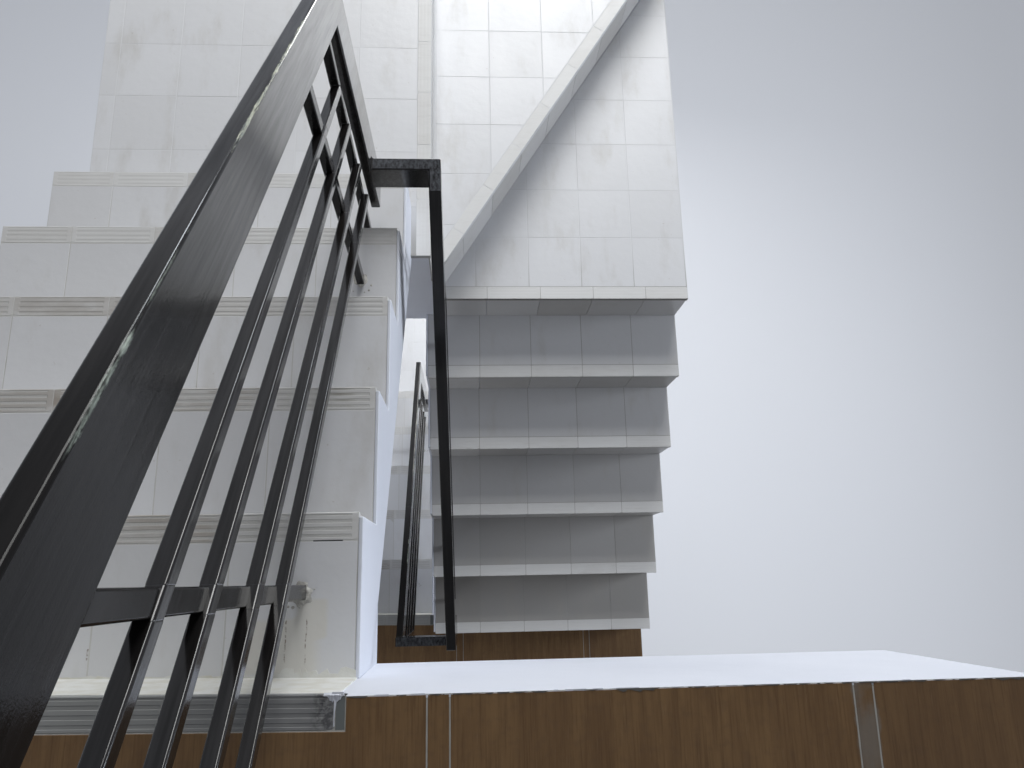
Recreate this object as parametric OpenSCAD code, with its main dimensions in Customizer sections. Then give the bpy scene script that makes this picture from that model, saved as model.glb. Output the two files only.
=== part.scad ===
// Two storeys of a narrow dog-leg stair in cast concrete. Each storey has a
// first flight, a turn of a quarter landing with two winder steps, and a
// second flight back beside the first. Ribbed nosing tiles finish the steps,
// and one welded handrail of flat rectangular tube wraps down through the well.
// Millimetres, Z up. The origin is on the underside of the foot of the lowest
// flight, the well runs along Y, and the first flight of a storey goes down
// towards +Y.

/* [Steps] */
// height of every riser
riser = 200; // [180:1:210]
// going of the first flight of a storey
going_a = 271; // [250:1:280]
// going of the second flight of a storey
going_b = 250; // [235:1:252]
// width of the first flight from wall to well
flight_a_w = 1030; // [850:5:1300]
// width of the second flight from wall to well
flight_b_w = 990; // [850:5:1300]
// clear gap in plan between the steps of the two flights
well = 35; // [25:1:60]

/* [Turn] */
// distance from the top floor's edge to the front of the turn
turn_front = 1175; // [1165:1:1250]
// length of the turn from its front to the far wall
turn_d = 1485; // [1200:5:1700]
// position across of the riser between landing and first winder
winder_x = 72; // [60:1:120]
// thickness of the turn below its lowest step
turn_t = 250; // [180:5:300]

/* [Concrete] */
// thickness of the sloping slab, measured upright under the inner corners
waist = 170; // [130:5:220]
// depth of the floor edge beams
beam_h = 450; // [350:5:500]
// width of the floor edge beams
beam_w = 300; // [200:5:400]
// how far plaster stands out past the ends of the tiles
plaster = 8; // [4:1:12]

/* [Treads] */
// thickness of tile and bedding
tread_t = 20; // [16:1:30]
// overhang of the tile past the riser
nose = 8; // [4:1:14]
// number of grooves in a nosing tile
grooves = 5; // [3:1:6]
// width of one groove
groove_w = 3; // [2:0.5:4]
// depth of one groove
groove_d = 2; // [1:0.5:3]
// spacing of the grooves
groove_pitch = 8; // [6:0.5:9]
// distance of the first groove from the edge
groove_set = 7; // [5:0.5:9]
// how far the grooves stop short of the ends of a nosing tile
groove_stop = 10; // [6:1:20]
// bevel along the front edge of a straight tread
bevel = 3; // [1:0.5:4]
// how far the nosing strip of a floor runs past the treads of the flight
strip_end = 15; // [13:1:20]

/* [Handrail] */
// width of the flat tube of the first rail
rail_w = 25; // [20:1:40]
// width of the tube across the well and of the second rail
cross_w = 32; // [25:1:40]
// height of the flat tube
rail_h = 100; // [60:1:110]
// height of the handrail's top above the floor edge
rail_top = 860; // [800:5:1000]
// distance of the first rail from the ends of the treads
rail_in_a = 71; // [50:1:90]
// distance of the second rail's head from the ends of the treads
rail_in_b = 71; // [50:1:90]
// how much farther in the second rail stands at its foot
rail_skew = 20; // [0:1:30]
// height of the second rail above the edge of the lowest winder
rail_top_b = 910; // [850:5:960]
// length of the level run at the head of the second rail
level_run = 60; // [45:5:80]
// distance of the newel from the front of the turn
newel_set = 22; // [10:1:60]
// how far a newel hangs below the rail that leaves it
newel_tail = 220; // [180:5:240]

/* [Infill] */
// side of the square infill bars
bar = 19; // [12:1:25]
// depth of the posts along the flight
post_d = 25; // [20:1:40]
// how far the foot of a post is out of line with its head
lean = 22; // [0:1:25]
// drop from the handrail's top to the top of each bar
drops = [252, 388, 557, 708]; // [230:1:740]
// lower post of the first flight, in goings from the floor edge
post_a1 = 0.51; // [0.4:0.01:0.6]
// upper post of the first flight, in goings from the floor edge
post_a2 = 3.44; // [3.3:0.01:3.6]
// posts of the second flight, in goings from its foot and from its head
post_b = [1.5, 0.5]; // [0.4:0.05:1.6]
// gap between the newel of the first rail and the post before it
gap_a = 62; // [50:1:90]
// gaps between the newels of the second rail and the posts beside them
gap_b = [40, 80]; // [30:1:100]
// radius of the mortar round the foot of a post
mortar_r = 24; // [20:1:32]
// width of that mortar at its top, as a share of its foot
mortar_top = 0.75; // [0.6:0.05:0.9]
// height of that mortar
mortar_h = 5; // [3:1:8]

/* [Hidden] */
storey = 14 * riser;
top_z = 2 * storey;
slope_a = riser / going_a;
slope_b = riser / going_b;
turn_back = turn_front + turn_d;
landing_edge = 5 * going_a;
foot_edge = turn_front - 5 * going_b;
wall_a = -flight_a_w;
wall_b = well + flight_b_w;
side_a = plaster;
side_b = well - plaster;
soffit_a0 = -riser - waist;
soffit_b0 = -9 * riser - tread_t - waist;
face = turn_front + nose;
foot_back = face - (14 * riser + soffit_b0) / slope_b;
foot_front = foot_edge + nose;
winder_run = wall_b - winder_x;
diagonal = sqrt(winder_run * winder_run + turn_d * turn_d);
origin_x = (side_b + wall_b) / 2;
origin_y = (foot_front + foot_back) / 2;
nosing_d = groove_set + groove_pitch * grooves + groove_w;
rail_xa = -rail_in_a;
rail_xb = well + rail_in_b;
rail_start = foot_edge;
newel_y = turn_front + newel_set;
skew_b = rail_skew / (newel_y - rail_start);
cross_z = -8 * riser + rail_top_b;
foot_z = rail_top - slope_a * rail_start - storey;
// top line of each handrail as its height at Y = 0 and its rise along Y
line_a = [rail_top, -slope_a];
line_b = [cross_z - slope_b * (newel_y - level_run), slope_b];
// uprights of each panel: centre, depth, and the step a post stands on
uprights_a = [[rail_start + bar / 2, bar, 0],
              [post_a1 * going_a, post_d, 1],
              [post_a2 * going_a, post_d, 4],
              [newel_y - gap_a - bar / 2, bar, 5]];
uprights_b = [[rail_start + rail_h + gap_b[0] + bar / 2, bar, 13],
              [foot_edge + post_b[0] * going_b, post_d, 12],
              [turn_front - post_b[1] * going_b, post_d, 9],
              [newel_y - gap_b[1] - bar / 2, bar, 0]];

// height of step k of a storey, where storey 0 is the upper one
function level(s, k) = top_z - s * storey - k * riser;

// moves the stair from its own setting-out lines to the part's frame
module placed(s) {
  translate([-origin_x, -origin_y, level(s, 0)]) children();
}

// extrudes an outline drawn in the Y-Z plane from x0 to x1
module side_extrude(x0, x1) {
  translate([x0, 0, 0])
    rotate([90, 0, 90])
      linear_extrude(x1 - x0) children();
}

// floor edge beam, with its face to the well at Y = 0; where no flight
// stands on it, the plaster of the face runs up to the top of the floor
module edge_beam(s, open_edge) {
  color("#e9ebef")
    placed(s)
      union() {
        translate([wall_a, -beam_w, -beam_h])
          cube([wall_b - wall_a, beam_w, beam_h - tread_t]);
        if (open_edge)
          translate([strip_end, -plaster, -beam_h])
            cube([wall_b - strip_end, plaster, beam_h]);
      }
}

// side outline of a first flight, its steps lowered by the bed of the tiles
module outline_a(bed) {
  tops = [for (k = [1:5]) each [
    [k == 1 ? 0 : (k - 1) * going_a - nose, -k * riser - bed],
    [k * going_a - nose, -k * riser - bed]]];
  polygon(concat([[0, soffit_a0]], tops,
    [[landing_edge - nose, -6 * riser - tread_t],
     [face, -6 * riser - tread_t],
     [face, soffit_a0 - slope_a * face]]));
}

// first flight: steps 1 to 5 on a sloping slab, with the plaster of its side
// brought up flush with the tiles
module flight_a(s) {
  color("#e9ebef")
    placed(s)
      union() {
        side_extrude(wall_a, 0) outline_a(tread_t);
        side_extrude(0, side_a) outline_a(0);
      }
}

// side outline of a second flight, down to the beam or to the ground
module outline_b(bed, on_ground) {
  floor_z = -storey - (on_ground ? 0 : tread_t);
  tops = [for (k = [9:13]) each [
    [face - (k - 9) * going_b, -k * riser - bed],
    [face - (k - 8) * going_b, -k * riser - bed]]];
  heel = on_ground ? [[foot_back, floor_z]]
       : [[0, floor_z], [0, soffit_b0 - slope_b * face]];
  turn_soffit = -8 * riser - turn_t;
  polygon(concat([[face, turn_soffit]], tops, [[foot_front, floor_z]], heel,
    [[face + (turn_soffit - soffit_b0) / slope_b, turn_soffit]]));
}

// second flight: steps 9 to 13, with its side plastered like the first
module flight_b(s, on_ground) {
  color("#e9ebef")
    placed(s)
      union() {
        side_extrude(well, wall_b) outline_b(tread_t, on_ground);
        side_extrude(side_b, well) outline_b(0, on_ground);
      }
}

// the turn: one flat-bottomed mass stepped up to the winder and the landing
module turn(s) {
  base = -8 * riser - turn_t;
  color("#e9ebef")
    placed(s)
      difference() {
        translate([wall_a, face, base])
          cube([wall_b - wall_a, turn_back - face, -6 * riser - tread_t - base]);
        // drop from the landing to the upper winder
        translate([winder_x - nose, face - 1, -7 * riser - tread_t])
          cube([wall_b, turn_d + 2, storey]);
        // drop from the upper to the lower winder, along the diagonal
        translate([0, 0, -8 * riser - tread_t])
          linear_extrude(storey) winder_below();
      }
}

// plan of the lower winder, grown past the diagonal edge by the overhang
module winder_below() {
  dx = nose * turn_d / diagonal;
  dy = nose * winder_run / diagonal;
  back = (nose - dx) * turn_d / winder_run;
  polygon([[winder_x - nose, turn_front + dy - back],
           [winder_x - nose, turn_front - 1],
           [wall_b + 1, turn_front - 1],
           [wall_b + 1, turn_back + 1 + dy],
           [wall_b - dx, turn_back + dy]]);
}

// board-patterned tiles on the floor edge, kept clear of the nosing strip
// and, on the middle floor, of the foot of the flight
module floor_tiles(s, foot) {
  color("#7a5230")
    placed(s)
      difference() {
        translate([wall_a, -beam_w, -tread_t])
          cube([wall_b - wall_a, beam_w, tread_t]);
        translate([wall_a - 1, -nosing_d, -riser])
          cube([strip_end - wall_a + 1, nosing_d + 1, 2 * riser]);
        translate([strip_end - 1, foot ? foot_front : -plaster, -riser])
          cube([wall_b, beam_w, 2 * riser]);
      }
}

// ribbed strip along the floor edge at the head of the first flight
module floor_nosing(s) {
  color("#a8abac")
    placed(s)
      difference() {
        translate([wall_a, -nosing_d, -tread_t])
          cube([strip_end - wall_a, nosing_d, tread_t]);
        groove_cuts([0, 0], 180, flight_a_w);
      }
}

// grooves on the left of an edge that starts at p and runs along angle a
module groove_cuts(p, a, long) {
  translate([p[0], p[1], 0])
    rotate([0, 0, a])
      for (i = [0 : grooves - 1])
        translate([groove_stop, groove_set + i * groove_pitch, -groove_d])
          cube([long - 2 * groove_stop, groove_w, groove_d + 1]);
}

// straight tread w wide and d deep: the edge is at y = 0, the tread behind it
module straight_tread(w, d) {
  difference() {
    side_extrude(0, w)
      polygon([[0, -tread_t], [0, -bevel], [bevel, 0], [d, 0], [d, -tread_t]]);
    groove_cuts([0, 0], 0, w);
  }
}

// step k of a flight, by the side of the well it lies on
module tread(s, k) {
  color("#c9cac6")
    placed(s)
      translate([0, 0, -k * riser])
        if (k <= 5)
          translate([0, k * going_a, 0])
            rotate([0, 0, 180])
              straight_tread(flight_a_w, going_a + (k == 1 ? 0 : nose));
        else if (k >= 9)
          translate([well, turn_front - (k - 8) * going_b, 0])
            straight_tread(flight_b_w, going_b + nose);
        else if (k == 6)
          landing_tread();
        else if (k == 7)
          upper_winder_tread();
        else
          lower_winder_tread();
}

// quarter landing with its narrow tongue beside the last straight step
module landing_tread() {
  difference() {
    translate([0, 0, -tread_t])
      linear_extrude(tread_t)
        polygon([[wall_a, landing_edge - nose], [side_a, landing_edge - nose],
                 [side_a, turn_front], [winder_x, turn_front],
                 [winder_x, turn_back], [wall_a, turn_back]]);
    groove_cuts([winder_x, turn_front], 90, turn_d);
  }
}

// upper winder between the landing riser and the diagonal
module upper_winder_tread() {
  difference() {
    translate([0, 0, -tread_t])
      linear_extrude(tread_t)
        polygon([[winder_x, turn_front], [wall_b, turn_back],
                 [winder_x - nose, turn_back], [winder_x - nose, turn_front]]);
    groove_cuts([winder_x, turn_front], atan2(turn_d, winder_run), diagonal);
  }
}

// lower winder between the diagonal and the head of the second flight
module lower_winder_tread() {
  difference() {
    translate([0, 0, -tread_t])
      linear_extrude(tread_t)
        intersection() {
          translate([well, turn_front])
            square([flight_b_w, turn_d]);
          winder_below();
        }
    groove_cuts([winder_x, turn_front], 0, winder_run);
  }
}

// height at y of a top line
function top(line, y) = line[0] + line[1] * y;
// position across at y of the middle of the second rail
function mid_b(y) = rail_xb + skew_b * (newel_y - y);
// upright height of a tube or bar of height h that slopes with a top line
function upright_h(line, h) = h * sqrt(1 + line[1] * line[1]);

// sloping tube with the upright newel that it turns down into
module rail_run_a() {
  back = newel_y + rail_h;
  v = upright_h(line_a, rail_h);
  side_extrude(rail_xa - rail_w / 2, rail_xa + rail_w / 2)
    polygon([[rail_start, top(line_a, rail_start)],
             [back, top(line_a, back)],
             [back, cross_z - newel_tail],
             [newel_y, cross_z - newel_tail],
             [newel_y, top(line_a, newel_y) - v],
             [rail_start, top(line_a, rail_start) - v]]);
}

// turns the second rail in plan, about its head
module skewed() {
  multmatrix([[1, -skew_b, 0, skew_b * newel_y],
              [0, 1, 0, 0],
              [0, 0, 1, 0]])
    children();
}

// tube across the well, level with z, up to the middle of the second rail
module rail_across(y, z) {
  translate([rail_xa - rail_w / 2, y, z - rail_h])
    cube([mid_b(y) - rail_xa + rail_w / 2, cross_w, rail_h]);
}

// second tube: a short level run, the slope, and its own newel at the bottom
module rail_run_b() {
  back = newel_y + cross_w;
  bend = newel_y - level_run;
  front = rail_start + rail_h;
  v = upright_h(line_b, rail_h);
  skewed()
    side_extrude(rail_xb - cross_w / 2, rail_xb + cross_w / 2)
      polygon([[back, cross_z],
               [bend, cross_z],
               [rail_start, top(line_b, rail_start)],
               [rail_start, foot_z - newel_tail],
               [front, foot_z - newel_tail],
               [front, top(line_b, front) - v],
               [bend + (v - rail_h) / slope_b, cross_z - rail_h],
               [back, cross_z - rail_h]]);
}

// handrail of one storey; joined takes in the tube across from the rail above
module handrail(s, joined) {
  color("#1e1a18")
    placed(s)
      union() {
        rail_run_a();
        rail_across(newel_y, cross_z);
        rail_run_b();
        if (joined)
          rail_across(rail_start, foot_z + storey);
      }
}

// upright slice of a panel from y0 to y1, between two drops below a top line
module slice(line, y0, y1, high, low) {
  polygon([[y0, top(line, y0) - high], [y1, top(line, y1) - high],
           [y1, top(line, y1) - low], [y0, top(line, y0) - low]]);
}

// the bars of one panel, cut to fit between each pair of uprights
module panel_bars(x, line, uprights) {
  v = upright_h(line, bar);
  side_extrude(x - bar / 2, x + bar / 2)
    for (i = [1 : len(uprights) - 1])
      for (d = drops)
        slice(line, uprights[i - 1][0] + uprights[i - 1][1] / 2,
              uprights[i][0] - uprights[i][1] / 2, d, d + v);
}

// post from the underside of a rail down to the step it stands on, leaning
// so that its foot is out of line with its head
module post(x, line, u) {
  v = upright_h(line, rail_h);
  y0 = u[0] - u[1] / 2;
  y1 = u[0] + u[1] / 2;
  head = top(line, u[0]) - v;
  foot = -u[2] * riser;
  share = lean / (head - foot);
  multmatrix([[1, 0, share, -share * head],
              [0, 1, 0, 0],
              [0, 0, 1, 0]])
    side_extrude(x - bar / 2, x + bar / 2)
      polygon([[y0, foot], [y1, foot],
               [y1, top(line, y1) - v], [y0, top(line, y0) - v]]);
}

// uprights of one panel: its posts, and an end bar where there is no step
module panel_uprights(x, line, uprights) {
  v = upright_h(line, rail_h);
  for (u = uprights)
    if (u[2] > 0)
      post(x, line, u);
    else
      side_extrude(x - bar / 2, x + bar / 2)
        slice(line, u[0] - u[1] / 2, u[0] + u[1] / 2, v, drops[3] + upright_h(line, bar));
}

module infill_bars(s) {
  color("#1e1a18")
    placed(s) {
      panel_bars(rail_xa, line_a, uprights_a);
      skewed() panel_bars(rail_xb, line_b, uprights_b);
    }
}

module posts(s) {
  color("#1e1a18")
    placed(s) {
      panel_uprights(rail_xa, line_a, uprights_a);
      skewed() panel_uprights(rail_xb, line_b, uprights_b);
    }
}

// low ring of mortar around the foot of a post
module mortar_pad(x, u) {
  translate([x - lean, u[0], -u[2] * riser])
    difference() {
      cylinder(h = mortar_h, r1 = mortar_r, r2 = mortar_top * mortar_r, $fn = 20);
      translate([-bar / 2, -u[1] / 2, -1])
        cube([bar, u[1], mortar_h + 2]);
    }
}

module mortar_pads() {
  color("#b9b6ae")
    for (s = [0, 1])
      placed(s) {
        for (u = uprights_a)
          if (u[2] > 0)
            mortar_pad(rail_xa, u);
        for (u = uprights_b)
          if (u[2] > 0)
            mortar_pad(mid_b(u[0]), u);
      }
}

edge_beam(0, true);  // top_beam
edge_beam(1, false);  // mid_beam
flight_a(0);  // upper_flight_a
turn(0);  // upper_turn
flight_b(0, false);  // upper_flight_b
flight_a(1);  // lower_flight_a
turn(1);  // lower_turn
flight_b(1, true);  // lower_flight_b
floor_tiles(0, false);  // top_floor_tiles
floor_tiles(1, true);  // mid_floor_tiles
floor_nosing(0);  // top_nosing
floor_nosing(1);  // mid_nosing
tread(0, 1);  // upper_tread_01
tread(0, 2);  // upper_tread_02
tread(0, 3);  // upper_tread_03
tread(0, 4);  // upper_tread_04
tread(0, 5);  // upper_tread_05
tread(0, 6);  // upper_tread_06
tread(0, 7);  // upper_tread_07
tread(0, 8);  // upper_tread_08
tread(0, 9);  // upper_tread_09
tread(0, 10);  // upper_tread_10
tread(0, 11);  // upper_tread_11
tread(0, 12);  // upper_tread_12
tread(0, 13);  // upper_tread_13
tread(1, 1);  // lower_tread_01
tread(1, 2);  // lower_tread_02
tread(1, 3);  // lower_tread_03
tread(1, 4);  // lower_tread_04
tread(1, 5);  // lower_tread_05
tread(1, 6);  // lower_tread_06
tread(1, 7);  // lower_tread_07
tread(1, 8);  // lower_tread_08
tread(1, 9);  // lower_tread_09
tread(1, 10);  // lower_tread_10
tread(1, 11);  // lower_tread_11
tread(1, 12);  // lower_tread_12
tread(1, 13);  // lower_tread_13
handrail(0, false);  // upper_handrail
handrail(1, true);  // lower_handrail
infill_bars(0);  // upper_bars
infill_bars(1);  // lower_bars
posts(0);  // upper_posts
posts(1);  // lower_posts
mortar_pads();  // post_mortar
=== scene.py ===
import math
import random

import bpy
from mathutils import Euler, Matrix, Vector, noise


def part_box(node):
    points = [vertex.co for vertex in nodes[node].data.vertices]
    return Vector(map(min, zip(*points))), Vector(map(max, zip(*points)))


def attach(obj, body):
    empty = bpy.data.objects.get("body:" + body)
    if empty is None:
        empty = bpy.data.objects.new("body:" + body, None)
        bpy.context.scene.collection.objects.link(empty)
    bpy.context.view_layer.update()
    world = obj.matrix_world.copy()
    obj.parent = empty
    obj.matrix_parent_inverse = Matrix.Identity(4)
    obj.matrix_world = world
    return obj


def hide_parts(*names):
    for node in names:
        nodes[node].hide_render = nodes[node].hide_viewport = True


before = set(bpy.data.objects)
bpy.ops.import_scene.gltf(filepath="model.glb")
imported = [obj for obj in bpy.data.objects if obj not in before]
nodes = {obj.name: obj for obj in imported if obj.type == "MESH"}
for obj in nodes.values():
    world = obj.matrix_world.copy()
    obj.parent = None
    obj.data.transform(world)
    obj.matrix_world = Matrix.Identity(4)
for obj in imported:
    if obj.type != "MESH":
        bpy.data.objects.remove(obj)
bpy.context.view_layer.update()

# Cast concrete: the two floor beams, the four flights and the two turns. The
# soffits, the sides to the well and the beam faces are plastered and painted
# white with a roller, and the arrises are rounded by hand with the trowel.


class Shade:
    """One output of a shader node, on which + - * work as on a number."""

    tree = None

    def __init__(self, socket):
        self.socket = socket

    @classmethod
    def node(cls, kind, settings=None, values=None, out=0):
        made = cls.tree.nodes.new("ShaderNode" + kind)
        for name, value in (settings or {}).items():
            setattr(made, name, value)
        for name, value in (values or {}).items():
            if isinstance(value, Shade):
                cls.tree.links.new(value.socket, made.inputs[name])
            elif isinstance(value, tuple) and len(value) == 3 and made.inputs[name].type == "RGBA":
                made.inputs[name].default_value = (*value, 1.0)
            else:
                made.inputs[name].default_value = value
        return cls(made.outputs[out]) if made.outputs else None

    def math(self, operation, *others, swap=False):
        terms = (*others, self) if swap else (self, *others)
        return Shade.node("Math", {"operation": operation}, dict(enumerate(terms)))

    def __add__(self, other):
        return self.math("ADD", other)

    def __sub__(self, other):
        return self.math("SUBTRACT", other)

    def __rsub__(self, other):
        return self.math("SUBTRACT", other, swap=True)

    def __mul__(self, other):
        return self.math("MULTIPLY", other)

    __radd__ = __add__
    __rmul__ = __mul__

    def band(self, low, high):
        """0 below low, 1 above high and a smooth rise between them."""
        settings = {"interpolation_type": "SMOOTHSTEP"}
        values = {"Value": self, "From Min": low, "From Max": high}
        return Shade.node("MapRange", settings, values)

    def near(self, spot, reach, soft):
        """1 within reach of spot, falling to 0 over the width soft."""
        return 1.0 - (self - spot).math("ABSOLUTE").band(reach, reach + soft)


def mix(share, a, b):
    return Shade.node("Mix", {"data_type": "RGBA"}, {0: share, 6: a, 7: b}, out=2)


def place():
    return Shade.node("TexCoord", out="Object")


def stretched(x, y, z, turn=0.0):
    """The place on the object, turned about X and then scaled along each axis."""
    values = {"Vector": place(), "Rotation": (turn, 0.0, 0.0)}
    turned = Shade.node("Mapping", {"vector_type": "POINT"}, values)
    return Shade.node("VectorMath", {"operation": "MULTIPLY"}, {0: turned, 1: (x, y, z)})


def axis(which, vector=None):
    return Shade.node("SeparateXYZ", None, {"Vector": vector or place()}, out="XYZ".index(which))


def cloud(size, where=None, detail=3.0, rough=0.5):
    """Even noise from 0 to 1 with lumps about size metres across."""
    values = {
        "Vector": where or place(),
        "Scale": 1.0 / size,
        "Detail": detail,
        "Roughness": rough,
    }
    return Shade.node("TexNoise", None, values)


def bump(height, distance, under=None):
    values = {"Height": height, "Distance": distance, "Strength": 1.0}
    if under:
        values["Normal"] = under
    return Shade.node("Bump", None, values)


def finish_named(name):
    """A new material, whose tree the next nodes go into."""
    made = bpy.data.materials.new(name)
    made.use_nodes = True
    made.node_tree.nodes.clear()
    Shade.tree = made.node_tree
    return made


def surface(values):
    shader = Shade.node("BsdfPrincipled", None, values)
    Shade.node("OutputMaterial", None, {"Surface": shader})


WALL_PAINT = (0.715, 0.745, 0.825)
WALL_PAINT_THIN = (0.665, 0.695, 0.775)
OLD_PAINT = (0.72, 0.725, 0.70)
OLD_PAINT_YELLOWED = (0.64, 0.63, 0.57)

painted_plaster = finish_named("painted_plaster")
patches = cloud(0.45, detail=4.0)
stipple = cloud(0.004, detail=2.0)
trowelled = cloud(0.12, detail=2.0)
surface(
    {
        "Base Color": mix(patches.band(0.35, 0.7), WALL_PAINT, WALL_PAINT_THIN),
        "Roughness": stipple * 0.15 + 0.5,
        "Normal": bump(stipple, 0.0003, bump(trowelled, 0.003)),
    }
)

old_paint = finish_named("old_paint")
aged = cloud(0.03, detail=4.0)
surface(
    {
        "Base Color": mix(aged.band(0.35, 0.7), OLD_PAINT, OLD_PAINT_YELLOWED),
        "Roughness": aged * 0.2 + 0.45,
        "Normal": bump(cloud(0.006, detail=3.0), 0.0006),
    }
)

TROWELLED_ARRIS = 0.0025
concrete = ["top_beam", "mid_beam"]
concrete += [f"{s}_{part}" for s in ("upper", "lower") for part in ("flight_a", "flight_b", "turn")]


def dress(name, material, width, steps):
    """Gives a part its finish and rounds its arrises, its triangles joined up first."""
    part = nodes[name]
    part.data.materials.clear()
    part.data.materials.append(material)
    join = part.modifiers.new("join", "WELD")
    join.merge_threshold = 1e-5
    rounded = part.modifiers.new("rounded", "BEVEL")
    rounded.width = width
    rounded.segments = steps
    rounded.limit_method = "ANGLE"
    rounded.angle_limit = math.radians(40)
    rounded.harden_normals = True


for name in concrete:
    dress(name, painted_plaster, TROWELLED_ARRIS, 2)


class Pieces:
    """Points and faces of many small solids that make one mesh."""

    def __init__(self):
        self.points = []
        self.faces = []
        self.slots = []
        self.dirt = []
        self.tone = []

    def add(self, points, faces, slot, dirt, tone):
        start = len(self.points)
        self.points += [tuple(p) for p in points]
        self.dirt += dirt
        self.tone += [tone] * len(points)
        for face in faces:
            self.faces.append([start + i for i in face])
            self.slots.append(slot)

    def build(self, name, materials, smooth=False):
        mesh = bpy.data.meshes.new(name)
        mesh.from_pydata(self.points, [], self.faces)
        for key, values in (("dirt", self.dirt), ("tone", self.tone)):
            layer = mesh.attributes.new(key, "FLOAT", "POINT")
            layer.data.foreach_set("value", values)
        for material in materials:
            mesh.materials.append(material)
        mesh.polygons.foreach_set("material_index", self.slots)
        mesh.polygons.foreach_set("use_smooth", [smooth] * len(self.faces))
        mesh.update()
        obj = bpy.data.objects.new(name, mesh)
        bpy.context.scene.collection.objects.link(obj)
        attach(obj, "root")
        return obj


def prism(pieces, outline, way, slot=0):
    """A solid with the same outline at both ends, the length of way apart."""
    n = len(outline)
    points = [Vector(p) for p in outline]
    points += [p + Vector(way) for p in points]
    faces = [list(range(n))[::-1], list(range(n, 2 * n))]
    faces += [[i, (i + 1) % n, n + (i + 1) % n, n + i] for i in range(n)]
    pieces.add(points, faces, slot, [0.0] * 2 * n, 0.0)


HAUNCH_LONG = 0.12
HAUNCH_HIGH = 0.09
RISER_PLASTER_THIN = 0.002
RISER_PLASTER_THICK = 0.0235
STRIP_THICK = 0.009
for storey, level in (("upper", "top"), ("lower", "mid")):
    low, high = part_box(f"{storey}_flight_a")
    step_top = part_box(f"{storey}_tread_01")[1]
    strip_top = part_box(f"{level}_nosing")[1]
    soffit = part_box(f"{level}_beam")[0].z
    front, right = strip_top.y, step_top.x + 0.004
    plaster = Pieces()
    # where the flight meets the beam its soffit is level with the beam's
    prism(
        plaster,
        [
            (low.x, front, soffit + HAUNCH_HIGH),
            (low.x, front, soffit),
            (low.x, front + HAUNCH_LONG, soffit),
        ],
        (high.x - low.x, 0, 0),
    )
    # the first riser is plastered thicker towards the wall
    prism(
        plaster,
        [
            (low.x, front, step_top.z),
            (right, front, step_top.z),
            (right, front + RISER_PLASTER_THIN, step_top.z),
            (low.x, front + RISER_PLASTER_THICK, step_top.z),
        ],
        (0, 0, strip_top.z - STRIP_THICK - step_top.z),
        slot=1,
    )
    plaster.build(f"{storey}_plaster", [painted_plaster, old_paint])

# Glazed tiles on the steps: square field tiles cut to each tread, a ribbed
# nosing tile along its front edge, and grey grout in the joints. They lie in
# a mortar bed and stand for the plain treads of the frame.

TILE_UP = 0.009
JOINT = 0.0020
GROUT_LOW = 0.0006
TILE_BEVEL = 0.0006
NOSING_DEEP = 0.048
GROOVES = ((0.0026, 0.0064), (0.0120, 0.0186), (0.0245, 0.0311), (0.0370, 0.0430))
GROOVE_DEEP = 0.0009
GROOVE_WALL = 0.0007
GROOVE_STOP = 0.010
GROOVE_RUN_OUT = 0.003


def shrunk(outline, inset):
    """An outline, anticlockwise, with every side moved in by inset."""
    result = []
    for before, here, after in zip(outline[-1:] + outline[:-1], outline, outline[1:] + outline[:1]):
        d1 = (here - before).normalized()
        d2 = (after - here).normalized()
        n1, n2 = Vector((-d1.y, d1.x)), Vector((-d2.y, d2.x))
        result.append(here + inset * (n1 + n2) / (1 + n1.dot(n2)))
    return result


def clipped(outline, corner, inward):
    """The part of an outline on the inward side of a line by corner."""
    result = []
    for a, b in zip(outline, outline[1:] + outline[:1]):
        da, db = (a - corner).dot(inward), (b - corner).dot(inward)
        if da >= 0:
            result.append(a)
        if da * db < 0:
            result.append(a + (b - a) * (da / (da - db)))
    return result


def area_of(outline):
    pairs = zip(outline, outline[1:] + outline[:1])
    return 0.5 * sum(a.x * b.y - a.y * b.x for a, b in pairs)


def tidy_outline(outline):
    """Drops corners that lie closer than a millimetre to the one before."""
    return [p for i, p in enumerate(outline) if (p - outline[i - 1]).length > 1e-3]


def slab(pieces, outline, low, high, bevel, slot, tone, lean=(0.0, 0.0)):
    """A flat piece with a small bevel round its top."""
    inner = shrunk(outline, bevel)
    n = len(outline)
    middle = sum(outline, Vector((0.0, 0.0))) / n

    def top(p, z):
        return z + lean[0] * (p.x - middle.x) + lean[1] * (p.y - middle.y)

    points = [(p.x, p.y, low) for p in outline]
    points += [(p.x, p.y, top(p, high - bevel)) for p in outline]
    points += [(p.x, p.y, top(p, high)) for p in inner]
    faces = [list(range(n))[::-1], list(range(2 * n, 3 * n))]
    for i in range(n):
        j = (i + 1) % n
        faces.append([i, j, n + j, n + i])
        faces.append([n + i, n + j, 2 * n + j, 2 * n + i])
    pieces.add(points, faces, slot, [1.0] * (2 * n) + [0.0] * n, tone)


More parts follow.
